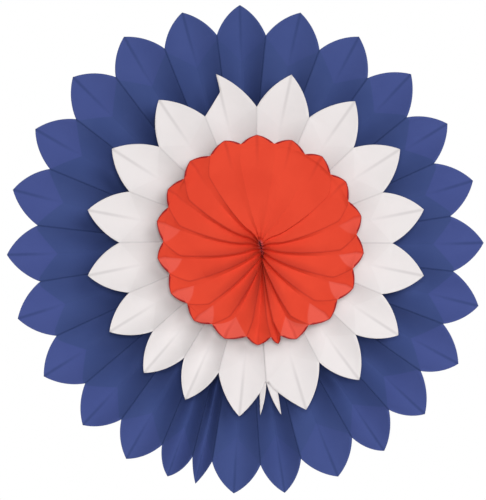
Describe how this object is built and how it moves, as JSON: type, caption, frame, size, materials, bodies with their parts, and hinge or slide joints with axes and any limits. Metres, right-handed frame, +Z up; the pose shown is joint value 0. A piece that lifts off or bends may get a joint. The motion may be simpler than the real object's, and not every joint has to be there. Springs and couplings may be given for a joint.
{
  "type": "paper fan rosette",
  "caption": "Hanging party rosette of pleated paper fans in blue, white and red, stacked one in front of the other, each with a rim cut into pointed petals.",
  "frame": {"origin": "middle of the back disc's rear face, where the rosette is fixed, on the axis of the blue fan's hub", "axes": "-Y out of the rosette's front towards the viewer, +Z up as it hangs, +X to the viewer's right"},
  "size_m": [0.4007, 0.0693, 0.4107],
  "materials": {
    "blue_paper": "thin matte deep blue paper",
    "white_paper": "thin matte white paper",
    "red_paper": "thin matte orange-red paper, a little translucent",
    "hot_melt_glue": "cloudy hot-melt glue",
    "bond_pad": "white double-sided foam pad",
    "card": "plain off-white card"
  },
  "bodies": {
    "root": {"outer_fan": "blue_paper", "middle_fan": "white_paper", "inner_fan": "red_paper", "outer_hub_glue": "hot_melt_glue", "middle_hub_glue": "hot_melt_glue", "inner_hub_glue": "hot_melt_glue", "rear_bond_pad": "bond_pad", "front_bond_pad": "bond_pad", "back_disc": "card"}
  },
  "joints": []
}
